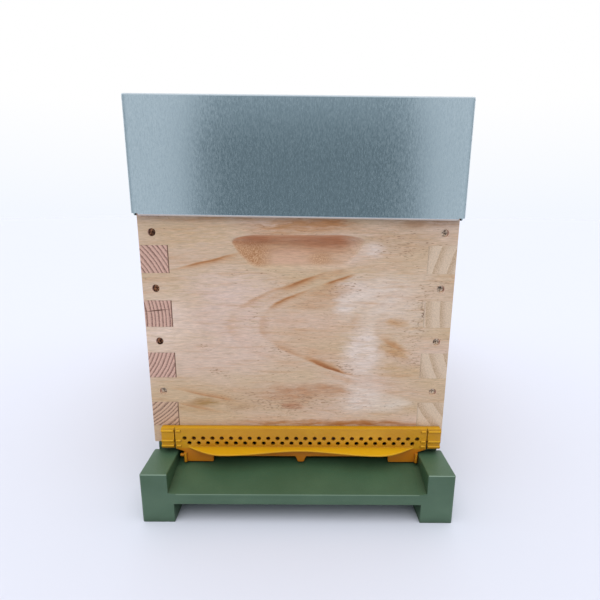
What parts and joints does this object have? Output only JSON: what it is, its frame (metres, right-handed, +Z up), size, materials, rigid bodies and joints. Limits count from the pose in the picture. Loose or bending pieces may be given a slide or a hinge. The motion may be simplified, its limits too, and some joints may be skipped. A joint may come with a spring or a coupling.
{
  "type": "nucleus hive",
  "caption": "Small wooden beehive for raising a colony: finger-jointed pine box with lift-out brood frames, flat galvanised roof, moulded floor with landing board and entrance reducer.",
  "frame": {"origin": "on the ground, under the middle of the hive's length and width", "axes": "+Z up, +Y from the entrance towards the back, +X to the right seen from the entrance"},
  "size_m": [0.2936, 0.5472, 0.3742],
  "materials": {
    "galvanised_sheet": "hot-dip galvanised sheet, matt with fine spangle",
    "rivet_metal": "plain aluminium blind rivet",
    "plywood": "bare birch-faced plywood",
    "pine_board": "planed bare pine",
    "frame_wood": "planed bare lime or pine",
    "reducer_plastic": "moulded yellow polypropylene",
    "floor_plastic": "moulded green polypropylene",
    "grille_plastic": "moulded green polypropylene",
    "tray_plastic": "moulded off-white polypropylene",
    "screw_steel": "zinc-plated wood screw",
    "rest_sheet": "galvanised strip",
    "nail_steel": "bright wire nail",
    "wire_steel": "tinned steel wire",
    "beeswax": "embossed beeswax sheet"
  },
  "bodies": {
    "floor": {"floor_tray": "floor_plastic", "floor_grille": "grille_plastic"},
    "inspection_tray": {"inspection_tray": "tray_plastic"},
    "entrance_reducer": {"entrance_reducer": "reducer_plastic"},
    "hive_body": {"front_board": "pine_board", "back_board": "pine_board", "left_side_board": "pine_board", "right_side_board": "pine_board", "front_corner_screws": "screw_steel", "back_corner_screws": "screw_steel", "front_frame_rest": "rest_sheet", "back_frame_rest": "rest_sheet", "frame_rest_nails": "nail_steel"},
    "crown_board": {"crown_board": "plywood"},
    "feed_hole_plug": {"feed_hole_plug": "reducer_plastic"},
    "roof": {"roof_sheet": "galvanised_sheet", "roof_rivets": "rivet_metal"},
    "frame_1": {"frame_1_top_bar": "frame_wood", "frame_1_end_bars": "frame_wood", "frame_1_bottom_bar": "frame_wood", "frame_1_foundation": "beeswax", "frame_1_wires": "wire_steel", "frame_1_nails": "nail_steel"},
    "frame_2": {"frame_2_top_bar": "frame_wood", "frame_2_end_bars": "frame_wood", "frame_2_bottom_bar": "frame_wood", "frame_2_foundation": "beeswax", "frame_2_wires": "wire_steel", "frame_2_nails": "nail_steel"},
    "frame_3": {"frame_3_top_bar": "frame_wood", "frame_3_end_bars": "frame_wood", "frame_3_bottom_bar": "frame_wood", "frame_3_foundation": "beeswax", "frame_3_wires": "wire_steel", "frame_3_nails": "nail_steel"},
    "frame_4": {"frame_4_top_bar": "frame_wood", "frame_4_end_bars": "frame_wood", "frame_4_bottom_bar": "frame_wood", "frame_4_foundation": "beeswax", "frame_4_wires": "wire_steel", "frame_4_nails": "nail_steel"},
    "frame_5": {"frame_5_top_bar": "frame_wood", "frame_5_end_bars": "frame_wood", "frame_5_bottom_bar": "frame_wood", "frame_5_foundation": "beeswax", "frame_5_wires": "wire_steel", "frame_5_nails": "nail_steel"},
    "frame_6": {"frame_6_top_bar": "frame_wood", "frame_6_end_bars": "frame_wood", "frame_6_bottom_bar": "frame_wood", "frame_6_foundation": "beeswax", "frame_6_wires": "wire_steel", "frame_6_nails": "nail_steel"}
  },
  "joints": [
    {"name": "entrance_reducer_pull", "type": "slide", "parent": "floor", "child": "entrance_reducer", "axis": [0, -1, 0], "range_m": [0, 0.06]},
    {"name": "inspection_tray_slide", "type": "slide", "parent": "floor", "child": "inspection_tray", "axis": [0, 1, 0], "range_m": [0, 0.4]},
    {"name": "hive_body_lift", "type": "slide", "parent": "floor", "child": "hive_body", "axis": [0, 0, 1], "range_m": [0, 0.12]},
    {"name": "frame_1_lift", "type": "slide", "parent": "hive_body", "child": "frame_1", "axis": [0, 0, 1], "range_m": [0, 0.34]},
    {"name": "frame_2_lift", "type": "slide", "parent": "hive_body", "child": "frame_2", "axis": [0, 0, 1], "range_m": [0, 0.34]},
    {"name": "frame_3_lift", "type": "slide", "parent": "hive_body", "child": "frame_3", "axis": [0, 0, 1], "range_m": [0, 0.34]},
    {"name": "frame_4_lift", "type": "slide", "parent": "hive_body", "child": "frame_4", "axis": [0, 0, 1], "range_m": [0, 0.34]},
    {"name": "frame_5_lift", "type": "slide", "parent": "hive_body", "child": "frame_5", "axis": [0, 0, 1], "range_m": [0, 0.34]},
    {"name": "frame_6_lift", "type": "slide", "parent": "hive_body", "child": "frame_6", "axis": [0, 0, 1], "range_m": [0, 0.34]},
    {"name": "crown_board_lift", "type": "slide", "parent": "frame_1", "child": "crown_board", "axis": [0, 0, 1], "range_m": [0, 0.1]},
    {"name": "feed_hole_plug_lift", "type": "slide", "parent": "crown_board", "child": "feed_hole_plug", "axis": [0, 0, 1], "range_m": [0, 0.04]},
    {"name": "roof_lift", "type": "slide", "parent": "feed_hole_plug", "child": "roof", "axis": [0, 0, 1], "range_m": [0, 0.16]}
  ],
  "couplings": [
    {"joint": "frame_2_lift", "follows": "frame_1_lift", "ratio": 1},
    {"joint": "frame_3_lift", "follows": "frame_1_lift", "ratio": 1},
    {"joint": "frame_4_lift", "follows": "frame_1_lift", "ratio": 1},
    {"joint": "frame_5_lift", "follows": "frame_1_lift", "ratio": 1},
    {"joint": "frame_6_lift", "follows": "frame_1_lift", "ratio": 1}
  ]
}
